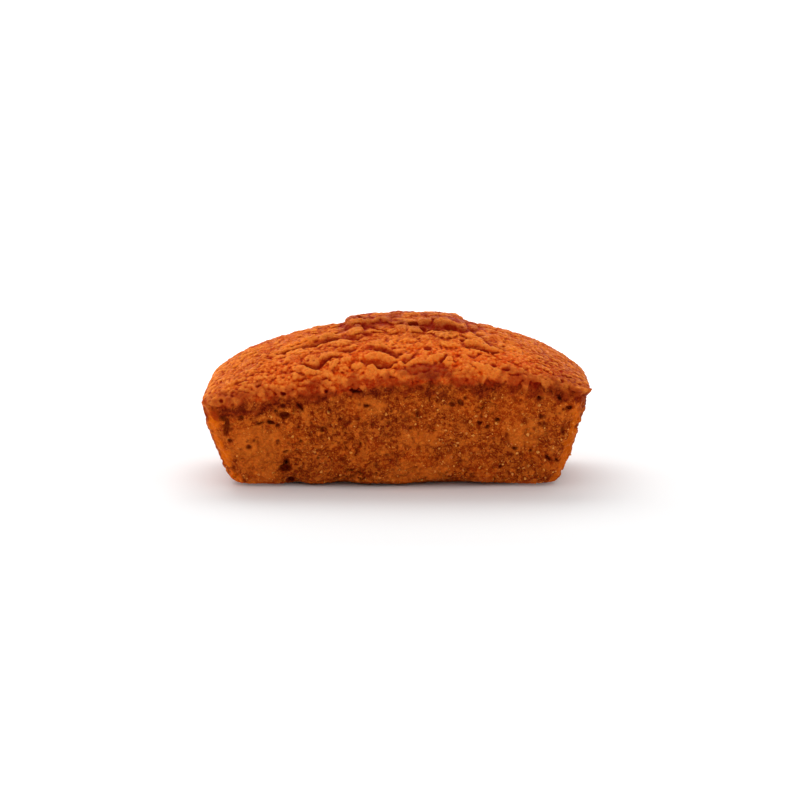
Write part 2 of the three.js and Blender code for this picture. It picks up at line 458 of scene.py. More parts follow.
LOBE_SIZE = 2.8
LUMP_SIZE = 1.5
GRAIN_SIZE = 0.75
STRETCH = np.array((0.62, 1, 1), dtype=np.float32)  # below 1, the lobes are longer along X
MOST_RELIEF = 2.8  # less than CRUST_REACH


def crust_lumps(points, ragged):
    """The crust's own lumpiness: lobes set with lumps, which are set with grains. It
    is calmer low on the long sides."""
    burst = burst_share(points)
    lobes = billows(ragged * STRETCH, LOBE_SIZE, 2.6, 21) - 0.6
    lumps = billows(ragged * STRETCH, LUMP_SIZE, 2.2, 22) - 0.55
    grains = heap(points, GRAIN_SIZE, 23)
    uneven = 0.65 + 0.75 * soft_noise(points, 4.0, 24)
    calm = 1 - 0.45 * blend(10, 17, np.abs(points[:, 1])) * burst
    big_lumps = (0.5 + 0.5 * uneven) * (0.3 + 0.7 * burst) * lobes + 0.4 * uneven * lumps
    return calm * big_lumps + 0.4 * grains


def lift_plate(relief, points, inside):
    """Raises the plate, less towards its right and more gently near its middle, and
    sinks a groove along its torn front. `inside` is the distance inside its outline."""
    gentle = 1 + 2.5 * bell(points[:, 0] - 1.5, 4.5)
    relief += PLATE_LIFT * blend(-1.6 * gentle, 0.6, inside) * blend(20, 11, points[:, 0])
    front = blend(4, -4, points[:, 1]) * blend(17, 13, points[:, 0])
    front = front * blend(-0.2, 0.5, soft_noise(points, 4.0, 26))
    relief -= front * 0.5 * bell(inside + 1.2, 0.8)


def open_cracks(relief, column, row):
    """Sinks the cracks and raises the ledge on one side of each."""
    for (distance, share), (_, depth, width, step) in zip(CRACK_MAPS, CRACKS):
        near = np.abs(distance[column, row]) < 6 * width + 3
        side = distance[column[near], row[near]]
        fade = np.sin(math.pi * np.clip(share[column[near], row[near]], 0.02, 0.98)) ** 0.5
        ledge = step * np.tanh(side / width) * np.exp(-np.abs(side) / (3 * width))
        relief[near] += fade * (0.4 * ledge - 0.8 * depth * bell(side, width))


def raise_lobes(relief, ragged):
    for (x, y), half_length, half_width, turn, rise in LOBES:
        gap_x, gap_y = ragged[:, 0] - x, ragged[:, 1] - y
        near = np.hypot(gap_x, gap_y) < half_length + half_width
        cos, sin = math.cos(math.radians(turn)), math.sin(math.radians(turn))
        along = (gap_x[near] * cos + gap_y[near] * sin) / half_length
        across = (gap_y[near] * cos - gap_x[near] * sin) / half_width
        relief[near] += 0.7 * rise * np.maximum(0, 1 - along**2 - across**2) ** 0.7


def crust_relief(points):
    """How far the crust stands out from the plain cake at each point."""
    ragged = drift(points, 0.6)
    column, row = plan_index(ragged)
    relief = crust_lumps(points, ragged)
    lift_plate(relief, points, PLATE_MAP[column, row])
    open_cracks(relief, column, row)
    raise_lobes(relief, ragged)
    return np.clip(relief, -MOST_RELIEF, MOST_RELIEF)


def torn_share(points):
    """1 along the torn front of the lifted plate and in the cracks, 0 elsewhere. The colour darkens and
    glosses there: partly syrupy torn crust, partly painted shade in the cracks and under the plate's front.
    """
    column, row = plan_index(drift(points, 0.8))
    inside = PLATE_MAP[column, row]
    torn = bell(inside + 1.2, 1.2) * blend(4, -4, points[:, 1])
    patches = blend(-0.1, 0.4, soft_noise(points, 3.2, 27))
    torn = np.maximum(torn, patches * blend(-1, 1, inside))
    for (distance, share), (_, depth, width, _) in zip(CRACK_MAPS, CRACKS):
        fade = np.sin(math.pi * share[column, row])
        torn = np.maximum(torn, fade * min(depth, 1) * bell(distance[column, row], 1.4 * width))
    return torn


def above_lip(points):
    """Height over the middle of the crust's lower edge, which is ragged."""
    x, _, z = points.T
    return z - rim_height(x) + 1.0 * soft_noise(points, 3.4, 41) + 1.5 * heap(points, 1.8, 22)


def crust_share(points):
    """1 on the browned crust, 0 on the walls."""
    return blend(-2.4, -0.9, above_lip(points))


def lump_share(points):
    """1 where the crust's lumps stand, which hang down over its edge, 0 below them."""
    return blend(-4.6, -3.0, above_lip(points))


# ---------------------------------------------------------------- the walls


def stripped_share(points):
    """1 where the tin has pulled the skin off the crumb, 0 where it is whole."""
    ragged = points + 0.5 * soft_noise(points, 1.3, 37)[:, None]
    here_and_there = blend(0.0, 0.35, soft_noise(ragged, 5.0, 31) + 0.35 * soft_noise(ragged, 1.7, 35))
    return np.maximum(here_and_there, patch_share(points, TORN_PATCHES))


def patch_share(points, patches):
    """1 in the given patches of the front wall, 0 outside their ragged edges."""
    share = np.zeros(len(points), dtype=np.float32)
    for (x, z), half_width, half_height in patches:
        gap = np.hypot((points[:, 0] - x) / half_width, (points[:, 2] - z) / half_height)
        share = np.maximum(share, 1 - blend(0.5, 1.2, gap + 0.5 * soft_noise(points, 1.5, 45)))
    return share * (points[:, 1] < 0)


def wall_relief(points):
    """How far the crumb of the walls stands out from the plain cake."""
    stripped = stripped_share(points)
    relief = 0.25 * soft_noise(points, 11.0, 32) + 0.2 * soft_noise(points, 2.4, 33)
    relief += (0.6 + 0.6 * stripped) * heap(points, 1.2, 34) - 0.25 * (stripped - 0.4)
    relief += 0.14 * soft_noise(points, 0.6, 36)
    return relief * blend(-0.5, 2.5, points[:, 2])


def wall_point(x, z, front=True):
    """The point of the front or back wall at a given place along and up it."""
    y = DEPTH / 2 - lip_width(x) - SIDE_SPREAD * lean_share(x, z)
    return np.array((x, -y if front else y, z))


def end_point(y, z, left=True):
    edge = -LENGTH / 2 if left else LENGTH / 2
    x = LENGTH / 2 - lip_width(edge) - END_SPREAD * lean_share(edge, z)
    return np.array((-x if left else x, y, z))


# ---------------------------------------------------------------- sculpting

HOLE_ROUND = 0.1  # of the edges of pores and pits
HOLE_SHADE = (-0.22, 0.05)  # distances inside a hole where its shade starts and is full


def carve(volume, shade, centre, radii, turn=0.0):
    """Cuts an ellipsoid out of the volume, turned about Y by degrees, and marks its
    surroundings in the shade."""
    centre = np.array(centre, dtype=np.float32)
    radii = np.array(radii, dtype=np.float32)
    reach = radii.max() + 0.3 + 2 * SPACING
    low = np.maximum(np.floor((centre - reach - GRID_LOW) / SPACING).astype(int), 0)
    high = np.ceil((centre + reach - GRID_LOW) / SPACING).astype(int) + 1
    window = tuple(slice(a, b) for a, b in zip(low, high))
    x, y, z = np.meshgrid(GRID_X[window[0]], GRID_Y[window[1]], GRID_Z[window[2]], indexing="ij")
    gap_x, gap_y, gap_z = x - centre[0], y - centre[1], z - centre[2]
    cos, sin = math.cos(math.radians(turn)), math.sin(math.radians(turn))
    across_x = gap_x * cos + gap_z * sin
    across_z = gap_z * cos - gap_x * sin
    scaled = np.sqrt((across_x / radii[0]) ** 2 + (gap_y / radii[1]) ** 2 + (across_z / radii[2]) ** 2)
    hole = (1 - scaled) * radii.min()
    volume[window] = rounded_max(volume[window], hole, HOLE_ROUND)
    shade[window] = np.maximum(shade[window], blend(*HOLE_SHADE, hole))


def dig(volume, shade, random, centre, radii, turn=0.0):
    """Carves a ragged hollow: one ellipsoid and a few smaller ones on its sides."""
    carve(volume, shade, centre, radii, turn)
    for _ in range(3):
        beside = np.array(centre) + random.normal(0, 0.6, 3) * radii
        carve(volume, shade, beside, np.array(radii) * random.uniform(0.3, 0.6), random.uniform(-90, 90))


# For each bare face, its number of small pores and a random point of it.
PORE_PLACES = (
    (FRONT_PORES, lambda r: wall_point(r.uniform(-38, 38), r.uniform(1.5, 22))),
    (BACK_PORES, lambda r: wall_point(r.uniform(-38, 38), r.uniform(1.5, 22), False)),
    (END_PORES, lambda r: end_point(r.uniform(-17, 17), r.uniform(2, 18))),
    (END_PORES, lambda r: end_point(r.uniform(-17, 17), r.uniform(2, 20), False)),
    (BASE_PORES, lambda r: np.array((r.uniform(-35, 35), r.uniform(-14, 14), 0.0))),
)


def dig_small_pores(volume, shade, random):
    """Small pores at random places of the walls and the base, few of them wide."""
    for count, place in PORE_PLACES:
        for _ in range(count):
            radius = 0.2 + 0.4 * random.random() ** 4
            radii = np.array((radius * random.uniform(0.8, 1.6), 1.5 * radius, radius))
            dig(volume, shade, random, place(random), radii, random.uniform(-90, 90))


def crust_point(x, y):
    """The point of the crust over a place in plan, higher on the lifted plate."""
    inside = PLATE_MAP[plan_index(np.array([(x, y)]))][0]
    dome = float(dome_height(np.array(x), np.array(y)))
    return np.array((x, y, rim_height(x) + dome + PLATE_LIFT * blend(0.0, 1.2, inside)))


def add_hollows(volume):
    """Opens the pores and pits, and returns how near each grid point is to one."""
    random = np.random.default_rng(51)
    shade = np.zeros_like(volume)
    for (x, z), half_length, half_width, turn in PORES:
        dig(volume, shade, random, wall_point(x, z), (half_length, 0.5 + half_length, half_width), -turn)
    dig_small_pores(volume, shade, random)
    for (x, z), radii in NOTCH:
        dig(volume, shade, random, wall_point(x, z), radii)
    for (x, y), half_length, half_width, depth in PITS:
        dig(volume, shade, random, crust_point(x, y), (half_length, half_width, depth))
    for _ in range(CRUST_PORES):
        x, y = random.uniform(-40, 40), random.uniform(-20, 20)
        radius = 0.2 + 0.35 * random.random() ** 3
        carve(volume, shade, crust_point(x, y), (radius * 1.6, radius, 0.5))
    return shade


def sculpt():
    """The whole cake as a volume, and how near each grid point is to a hollow."""
    x, y, z = np.meshgrid(GRID_X, GRID_Y, GRID_Z, indexing="ij", sparse=True)
    plain = plain_cake(x, y, z)
    volume = plain.copy()
    band = np.nonzero(np.abs(plain) < CRUST_REACH)
    points = np.stack([GRID_X[band[0]], GRID_Y[band[1]], GRID_Z[band[2]]], axis=1)
    distance = plain[band]
    relief = np.zeros(len(points), dtype=np.float32)
    lumpy = on_all_cores(lump_share, points)
    baked = lumpy > 0
    relief[baked] += lumpy[baked] * on_all_cores(crust_relief, points[baked])
    bare = (lumpy < 1) & (np.abs(distance) < WALL_REACH)
    relief[bare] += (1 - lumpy[bare]) * on_all_cores(wall_relief, points[bare])
    volume[band] = distance - relief
    shade = add_hollows(volume)
    return np.maximum(volume, -z), shade


def crowding(volume, radius):
    """The share of each grid point's surroundings that is cake: half on a flat
    surface, more in a crease and less on a ridge."""
    solid = np.clip(0.5 - volume / SPACING, 0, 1)
    reach = max(round(radius / SPACING), 1)
    for axis in range(3):
        total = np.cumsum(solid, axis=axis)
        solid = (np.roll(total, -reach, axis) - np.roll(total, reach + 1, axis)) / (2 * reach + 1)
    return solid


def sample(volume, points):
    """Values of the volume at points between its grid points."""
    scaled = (points - GRID_LOW) / SPACING
    cell = np.floor(scaled).astype(int)
    part = (scaled - cell).T
    x, y, z = cell.T
    total = 0
    for dx, dy, dz in CELL_CORNERS:
        weight = (part[0] if dx else 1 - part[0]) * (part[1] if dy else 1 - part[1])
        weight = weight * (part[2] if dz else 1 - part[2])
        total = total + weight * volume[x + dx, y + dy, z + dz]
    return total


def outer_shell(points, quads):
    """The largest connected part of a mesh, without the bubbles closed in the crumb."""
    edges = np.concatenate([quads[:, (0, 1)], quads[:, (1, 2)], quads[:, (2, 3)]])
    label = np.arange(len(points))
    settled = False
    while not settled:
        lowest = label.copy()
        for here, there in (edges.T, edges.T[::-1]):
            np.minimum.at(lowest, here, label[there])
        lowest = lowest[lowest]
        settled = np.array_equal(lowest, label)
        label = lowest
    kept = label == np.bincount(label).argmax()
    renumbered = np.cumsum(kept) - 1
    return points[kept], renumbered[quads[kept[quads[:, 0]]]]


def mesh_object(name, corners, faces):
    """A new smooth mesh object in the scene, from corners in metres."""
    mesh = bpy.data.meshes.new(name)
    mesh.from_pydata(corners, [], faces)
    mesh.shade_smooth()
    made = bpy.data.objects.new(name, mesh)
    bpy.context.scene.collection.objects.link(made)
    return made


def volume_mesh(volume, name):
    """A mesh object of the volume's surface, and its points in millimetres."""
    far = 3 * SPACING
    grid = openvdb.FloatGrid(far)
    grid.copyFromArray(np.clip(volume, -far, far).astype(np.float64))
    points, _, quads = grid.convertToPolygons(isovalue=0.0, adaptivity=0.0)
    points, quads = outer_shell(points, quads)
    points = points * SPACING + GRID_LOW
    piece = mesh_object(name, points * MM, quads[:, ::-1].tolist())
    return piece, points.astype(np.float32)


def store(piece, name, values):
    attribute = piece.data.attributes.new(name, "FLOAT", "POINT")
    attribute.data.foreach_set("value", values.astype(np.float32))


# ---------------------------------------------------------------- node helpers


def new_material(name):
    material = bpy.data.materials.new(name)
    material.use_nodes = True
    return material, material.node_tree


def add(tree, kind, inputs=None, **settings):
    """A new node with settings, and inputs that are values or other nodes' outputs."""
    node = tree.nodes.new(kind)
    for key, value in settings.items():
        setattr(node, key, value)
    for key, value in (inputs or {}).items():
        if isinstance(value, bpy.types.NodeSocket):
            tree.links.new(value, node.inputs[key])
        else:
            node.inputs[key].default_value = value
    return node


def attribute(tree, name):
    return add(tree, "ShaderNodeAttribute", attribute_name=name).outputs["Fac"]


def noise(tree, place, scale, detail=3.0, roughness=0.5):
    inputs = {"Vector": place, "Scale": scale, "Detail": detail, "Roughness": roughness}
    return add(tree, "ShaderNodeTexNoise", inputs).outputs["Fac"]


def remap(tree, value, low, high, to_low=0.0, to_high=1.0):
    inputs = {"Value": value, "From Min": low, "From Max": high, "To Min": to_low, "To Max": to_high}
    return add(tree, "ShaderNodeMapRange", inputs, interpolation_type="SMOOTHSTEP").outputs["Result"]


def mix_colour(tree, share, first, second, blend_type="MIX"):
    inputs = {0: share, 6: first, 7: second}
    return add(tree, "ShaderNodeMix", inputs, data_type="RGBA", blend_type=blend_type).outputs[2]


def maths(tree, operation, first, second):
    return add(tree, "ShaderNodeMath", {0: first, 1: second}, operation=operation).outputs[0]


def tint_by(tree, share, strength, colour, tint):
    """The colour with a tint mixed in by a share from 0 to 1, up to a strength."""
    return mix_colour(tree, maths(tree, "MULTIPLY", share, strength), colour, tint)


def tint_all(tree, colour, tints):
    """The colour with tints mixed in one after the other: for each one, a value, where
    it starts and is full, its strength there, and the tint."""
    for value, start, full, strength, tint in tints:
        colour = mix_colour(tree, remap(tree, value, start, full, 0.0, strength), colour, tint)
    return colour


def ragged_place(tree, place, scale, reach):
    """The place pushed about by a noise, so that what is drawn there turns ragged."""
    swirl = add(tree, "ShaderNodeTexNoise", {"Vector": place, "Scale": scale, "Detail": 2.0})
    inputs = {0: reach, 4: place, 5: swirl.outputs["Color"]}
    return add(tree, "ShaderNodeMix", inputs, data_type="VECTOR").outputs[1]


def cell_values(tree, cells):
    """The random values, 0 to 1, that a Voronoi texture gives to each of its cells."""
    return add(tree, "ShaderNodeSeparateColor", {"Color": cells.outputs["Color"]}).outputs


def rgb(red, green, blue):
    """A linear colour from its 0 to 255 values on screen."""
    linear = [((c / 255 + 0.055) / 1.055) ** 2.4 if c > 10 else c / 255 / 12.92 for c in (red, green, blue)]
    return (*linear, 1.0)


# ---------------------------------------------------------------- materials

CRUST_PALE = rgb(250, 148, 56)
CRUST_GOLD = rgb(234, 110, 22)
CRUST_AMBER = rgb(206, 80, 12)
CRUST_ORANGE = rgb(232, 76, 0)
CRUST_DEEP = rgb(146, 20, 0)
# painted shade inside the crust's pits and pores
CRUST_DARK = rgb(172, 28, 8)
CRUMB_PALE = rgb(226, 116, 32)
CRUMB_AMBER = rgb(158, 54, 2)
CRUMB_BROWN = rgb(121, 34, 1)
CRUMB_DARK = rgb(108, 14, 0)
# painted shade inside the crumb's pores and the notch
PORE_DARK = rgb(96, 6, 0)
CORNER_ORANGE = rgb(220, 102, 4)
LIP_TINT = (0.5, 0.22, 0.2, 1.0)  # what is left of each colour under the lip: painted shade under the crust's edge, partly a redder bake
ALMOND_PALE = rgb(232, 150, 66)
ALMOND_BROWN = rgb(198, 96, 20)


def let_light_in(shader, weight, depth):
    """Lets light scatter in the crumb, red light the furthest."""
    shader.inputs["Subsurface Weight"].default_value = weight
    shader.inputs["Subsurface Radius"].default_value = (1.6, 0.5, 0.15)
    shader.inputs["Subsurface Scale"].default_value = depth


def raise_bumps(tree, shader, height, strength, distance):
    bump = add(tree, "ShaderNodeBump", {"Height": height, "Strength": strength, "Distance": distance})
    tree.links.new(bump.outputs["Normal"], shader.inputs["Normal"])


def baked_material():
    material, tree = new_material("baked_cake")
    shader = tree.nodes["Principled BSDF"]
    place = add(tree, "ShaderNodeTexCoord").outputs["Object"]
    broad = noise(tree, place, 130.0)
    mottle = noise(tree, place, 420.0, 4.0, 0.6)
    fine = noise(tree, place, 1500.0)
    grainy = noise(tree, place, 3600.0, 2.0)
    granules = granule_height(tree, place)

    crust_colour = crust_colours(tree, place, broad, mottle, granules)
    crumb_colour = crumb_colours(tree, place, broad, mottle, fine, grainy)
    colour = mix_colour(tree, attribute(tree, "crust"), crumb_colour, crust_colour)
    # painted shade under the crust's lip, partly a redder bake there
    colour = mix_colour(tree, attribute(tree, "under_lip"), colour, LIP_TINT, "MULTIPLY")
    tree.links.new(colour, shader.inputs["Base Color"])

    shine = noise(tree, place, 420.0, 2.0)
    tree.links.new(remap(tree, shine, 0.35, 0.65, 0.5, 0.75), shader.inputs["Roughness"])
    shader.inputs["Specular IOR Level"].default_value = 0.03
    let_light_in(shader, 0.35, 0.45 * MM)
    wet_and_shaded = maths(tree, "MULTIPLY", attribute(tree, "wet_and_shaded"), 0.07)
    tree.links.new(wet_and_shaded, shader.inputs["Coat Weight"])
    shader.inputs["Coat Roughness"].default_value = 0.25
    shader.inputs["Coat IOR"].default_value = 1.35

    height = maths(tree, "MULTIPLY", granules, remap(tree, attribute(tree, "crust"), 0.0, 1.0, 0.4, 1.0))
    height = maths(tree, "ADD", height, maths(tree, "MULTIPLY", grainy, 0.6))
    raise_bumps(tree, shader, height, 1.0, 0.3 * MM)
    return material


def granule_height(tree, place):
    """Little round grains side by side: 1 at their middles, lower between them."""
    pushed = ragged_place(tree, place, 900.0, 0.0008)
    cells = add(tree, "ShaderNodeTexVoronoi", {"Vector": pushed, "Scale": 1700.0})
    return maths(tree, "SUBTRACT", 1.0, cells.outputs["Distance"])


def crust_colours(tree, place, broad, mottle, granules):
    """Golden ridges, amber sides and deep red-brown creases: the golden ridges, humps and grain tops are
    painted highlights, and the deep red-brown of creases, dips and gaps between grains is painted shade.
    """
    shade = grain_shades(tree, place, 2600.0)
    sunken = attribute(tree, "sunken")
    crowded = attribute(tree, "crowded")
    colour = mix_colour(tree, remap(tree, broad, 0.44, 0.62), CRUST_AMBER, CRUST_GOLD)
    colour = tint_by(tree, attribute(tree, "lightly_baked"), 0.8, colour, CRUST_ORANGE)
    # deeper brown: partly real browning, partly painted shade, mostly behind the crest
    colour = tint_by(tree, attribute(tree, "baked_and_shaded"), 0.6, colour, CRUST_DEEP)
    tints = (
        (mottle, 0.5, 0.4, 0.25, CRUST_PALE),
        (mottle, 0.52, 0.7, 0.25, CRUST_DEEP),
        # grain tops paler and the gaps between grains deeper: painted highlight and painted shade
        (granules, 0.5, 0.9, 0.35, CRUST_PALE),
        (granules, 0.5, 0.15, 0.15, CRUST_DEEP),
        (shade, 0.6, 1.0, 0.4, CRUST_PALE),
        (shade, 0.4, 0.0, 0.18, CRUST_DEEP),
        # humps and ridges paler, dips and creases deeper: painted highlights and painted shade
        (sunken, 0.49, 0.42, 0.45, CRUST_PALE),
        (sunken, 0.49, 0.56, 0.5, CRUST_DEEP),
        (crowded, 0.48, 0.4, 0.35, CRUST_PALE),
        (crowded, 0.51, 0.63, 0.75, CRUST_DEEP),
    )
    colour = tint_all(tree, colour, tints)
    # painted shade in the crust's pits and pores
    colour = tint_by(tree, attribute(tree, "hollow"), 0.85, colour, CRUST_DARK)
    # deeper red: partly syrupy torn crust, partly painted shade in cracks and under the plate's front
    return tint_by(tree, attribute(tree, "wet_and_shaded"), 0.7, colour, CRUST_DEEP)


def crumb_colours(tree, place, broad, mottle, fine, grainy):
    """Amber skin, redder crumb where the skin is gone, pale flecks of almond with finer painted glints,
    painted light on the upright corners, painted shade in the creases, and dark pores whose dark is painted
    shade.
    """
    coarse_shade = grain_shades(tree, place, 1100.0)
    fine_shade = grain_shades(tree, place, 2300.0)
    colour = mix_colour(tree, remap(tree, broad, 0.36, 0.64), CRUMB_BROWN, CRUMB_AMBER)
    colour = tint_by(tree, attribute(tree, "stripped"), 0.5, colour, CRUMB_BROWN)
    blotches = (
        (mottle, 0.45, 0.35, 0.45, CRUMB_PALE),
        (mottle, 0.52, 0.68, 0.5, CRUMB_DARK),
    )
    colour = tint_all(tree, colour, blotches)
    colour = tint_by(tree, attribute(tree, "pale"), 0.45, colour, CRUMB_PALE)
    grains = (
        (coarse_shade, 0.5, 1.0, 0.45, CRUMB_PALE),
        (coarse_shade, 0.4, 0.0, 0.09, CRUMB_DARK),
        (fine_shade, 0.5, 1.0, 0.35, CRUMB_PALE),
        (fine_shade, 0.4, 0.0, 0.07, CRUMB_DARK),
        (fine, 0.55, 0.7, 0.5, CRUMB_PALE),
        (grainy, 0.54, 0.7, 0.55, CRUMB_PALE),
    )
    colour = tint_all(tree, colour, grains)
    colour = tint_by(tree, flecks(tree, place, 620.0, 1.1), 0.8, colour, ALMOND_PALE)
    # finer pale dots: painted glints of the moist crumb, in the colour of ground almond
    colour = tint_by(tree, flecks(tree, place, 1500.0, 0.9), 0.75, colour, ALMOND_PALE)
    # painted light on the upright corners, partly their smoother, more baked skin
    colour = tint_by(tree, attribute(tree, "corner"), 0.8, colour, CORNER_ORANGE)
    # painted shade in the crumb's creases
    crease = remap(tree, attribute(tree, "crowded"), 0.54, 0.7, 0.0, 0.3)
    colour = mix_colour(tree, crease, colour, CRUMB_DARK)
    # painted shade in the pores, the notch and the pits
    return tint_by(tree, attribute(tree, "hollow"), 0.8, colour, PORE_DARK)


def grit_material():
    """Ground almond, from nearly as brown as the crumb to pale."""
    material, tree = new_material("ground_almond")
    shader = tree.nodes["Principled BSDF"]
    place = add(tree, "ShaderNodeTexCoord").outputs["Object"]
    uneven = noise(tree, place, 2500.0)
    shade = maths(tree, "ADD", attribute(tree, "shade"), remap(tree, uneven, 0.3, 0.7, -0.2, 0.2))
    colour = mix_colour(tree, remap(tree, shade, 0.0, 1.0), ALMOND_BROWN, ALMOND_PALE)
    tree.links.new(colour, shader.inputs["Base Color"])
    tree.links.new(remap(tree, uneven, 0.3, 0.7, 0.35, 0.6), shader.inputs["Roughness"])
    shader.inputs["Specular IOR Level"].default_value = 0.2
    let_light_in(shader, 0.3, 0.4 * MM)
    raise_bumps(tree, shader, uneven, 0.6, 0.1 * MM)
    return material


def grain_shades(tree, place, scale):
    """A random shade, 0 to 1, for each small ragged grain of the surface."""
    pushed = ragged_place(tree, place, scale, 0.8 / scale)
    cells = add(tree, "ShaderNodeTexVoronoi", {"Vector": pushed, "Scale": scale})
    return cell_values(tree, cells)["Red"]


def flecks(tree, place, scale, rarity):
    """Pale specks: one small ragged dot in some of the cells. The coarse ones stand for ground almond, the
    fine ones for painted glints of the moist crumb.
    """
    pushed = ragged_place(tree, place, 2.4 * scale, 0.55 / scale)
    spots = add(tree, "ShaderNodeTexVoronoi", {"Vector": pushed, "Scale": scale})
    chance = cell_values(tree, spots)
    size = remap(tree, chance["Green"], 0.0, 1.0, 0.05, 0.2)
    dot = remap(tree, maths(tree, "SUBTRACT", spots.outputs["Distance"], size), -0.03, 0.05, 1.0, 0.0)
    patches = noise(tree, place, 110.0, 2.0)
    chosen = remap(tree, maths(tree, "ADD", chance["Red"], patches), rarity, rarity + 0.08)
    return maths(tree, "MULTIPLY", dot, chosen)


# ---------------------------------------------------------------- building


def glaze_share(points):
    """Where syrupy crust has stayed smooth, low on the front near the middle."""
    gap = np.hypot((points[:, 0] - 7) / 6.5, (points[:, 2] - 27.6) / 1.7)
    gap = gap + 0.4 * soft_noise(points, 2.0, 46)
    return (1 - blend(0.5, 1.2, gap)) * (points[:, 1] < 0)


def under_lip_share(points):
    """The darker, redder band along the lower edge of the crust: partly painted shade under its edge,
    partly a redder bake.
    """
    below = rim_height(points[:, 0]) - LIP_DROP - points[:, 2]
    below = below + 1.6 * soft_noise(points, 2.4, 43) + 1.1 * soft_noise(points, 0.9, 44)
    patchy = 0.35 + 0.55 * blend(-0.5, 0.1, soft_noise(points, 1.5, 49))
    return patchy * blend(-4.4, -2.0, below) * (1 - blend(1.0, 2.2, below))


def corner_share(points):
    """1 on the upright corners of the walls, 0 elsewhere. Their orange is painted light falling from the
    sides, strongest on the front left, and partly a smoother, more baked skin.
    """
    x, y, z = points.T
    beside_x, beside_y = beyond_core(x, y, z, lip_width(x))
    ragged = 1.2 * soft_noise(points, 2.2, 47) + 0.5 * soft_noise(points, 0.9, 48)
    # stronger on the front and on the left, where the painted light falls
    strength = np.where(y < 0, 1.0, 0.5) * np.where(x < 0, 1.0, 0.7)
    return strength * blend(1.6, 2.8, np.minimum(beside_x, beside_y) + ragged) * blend(21, 17, z)


def lightly_baked_share(points):
    """The brighter orange of the crust low on the long sides, away from the ends."""
    x, y = points[:, 0], points[:, 1]
    return blend(12, 18, np.abs(y)) * blend(-36, -24, x) * blend(40, 26, x)


def baked_and_shaded_share(points):
    """Where the crust is a deeper brown: behind the crest and on it, at the right end,
    on the left shoulder, and low on the front left of the middle. It is partly real
    browning and partly painted shade, mostly behind the crest against the light from behind."""
    x, y, z = points.T
    uneven = soft_noise(points, 5.0, 38)
    zones = (
        blend(0, 5, y + 3 * uneven),
        0.8 * blend(33, 36, z + 2 * uneven),
        0.9 * blend(22, 38, x + 4 * uneven),
        0.4 * blend(-24, -32, x) * blend(23, 28, z),
        0.5 * bell(x + 18, 8) * blend(-12, -16, y),
    )
    return np.max(zones, axis=0)


def make_cake():
    volume, shade = sculpt()
    piece, points = volume_mesh(volume, "almond_cake")
    store(piece, "crust", on_all_cores(crust_share, points))
    # how near a pore or pit is, for the painted shade inside them
    store(piece, "hollow", sample(shade, points))
    # where the painted light on the upright corners goes
    store(piece, "corner", corner_share(points))
    # crowded and sunken tell creases and dips from ridges and humps, for painted shade and painted
    # highlights
    store(piece, "crowded", sample(crowding(volume, CREASE_RADIUS), points))
    store(piece, "sunken", sample(crowding(volume, DIP_RADIUS), points))
    store(piece, "stripped", stripped_share(points))
    # glossy, darker crust: partly syrup, partly painted shade in the cracks and under the plate's front
    store(piece, "wet_and_shaded", np.maximum(torn_share(points), glaze_share(points)))
    # band of painted shade under the lip, partly a redder bake
    store(piece, "under_lip", under_lip_share(points))
    store(piece, "lightly_baked", lightly_baked_share(points))
    # deeper brown crust: partly browning, partly painted shade
    store(piece, "baked_and_shaded", baked_and_shaded_share(points))
    store(piece, "pale", patch_share(points, PALE_PATCHES))
    piece.data.materials.append(baked_material())
    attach(piece, "root")
    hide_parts("cake")
    return piece


def cake_values(cake, name):
    """A stored value of the cake's surface, at each of its points."""
    values = np.empty(len(cake.data.vertices), dtype=np.float32)
    cake.data.attributes[name].data.foreach_get("value", values)
    return values


def grit_places(cake):
    """Random points of the cake's bare walls, more of them low down and to the right."""
    random = np.random.default_rng(61)
    points = np.empty(3 * len(cake.data.vertices), dtype=np.float32)
    cake.data.vertices.foreach_get("co", points)
    points = points.reshape(-1, 3) / MM
    bare = (cake_values(cake, "crust") < 0.2) & (cake_values(cake, "hollow") < 0.1)
    bare = bare & (cake_values(cake, "corner") < 0.3) & (points[:, 2] > 0.6)
    lean = points[:, 0] / 90 - points[:, 2] / 60
    chance = bare * blend(-0.6, 0.6, soft_noise(points, 6.0, 62) + lean)
    chance = chance * blend(0, 5, rim_height(points[:, 0]) - 3 - points[:, 2])
    return points[random.choice(len(points), GRIT_COUNT, replace=False, p=chance / chance.sum())]


def round_ball():
    """The corners and faces of a ball with a radius of 1."""
    ball = bmesh.new()
    bmesh.ops.create_icosphere(ball, subdivisions=1, radius=1.0)
    corners = np.array([vertex.co for vertex in ball.verts])
    faces = np.array([[vertex.index for vertex in face.verts] for face in ball.faces])
    ball.free()
    return corners, faces


def make_grit(cake):
    """Grains of ground almond, half sunk into the walls."""
    random = np.random.default_rng(63)
    corners, faces = round_ball()
    all_corners, all_faces, shades = [], [], []
    for place in grit_places(cake):
        radius = mix(*GRIT_SIZES, random.random() ** 3)
        turn, _ = np.linalg.qr(random.normal(size=(3, 3)))
        stretch = radius * random.uniform(0.7, 1.3, 3)
        rough = 1 + 0.15 * random.normal(size=(len(corners), 1))
        all_faces.append(faces + len(corners) * len(all_faces))
        all_corners.append((corners * rough * stretch) @ turn * np.sign(np.linalg.det(turn)) + place)
        shades.append(np.full(len(corners), random.random()))
    piece = mesh_object("almond_grit", np.concatenate(all_corners) * MM, np.concatenate(all_faces).tolist())
    store(piece, "shade", np.concatenate(shades))
    piece.data.materials.append(grit_material())
    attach(piece, "root")


# ---------------------------------------------------------------- stage, in metres

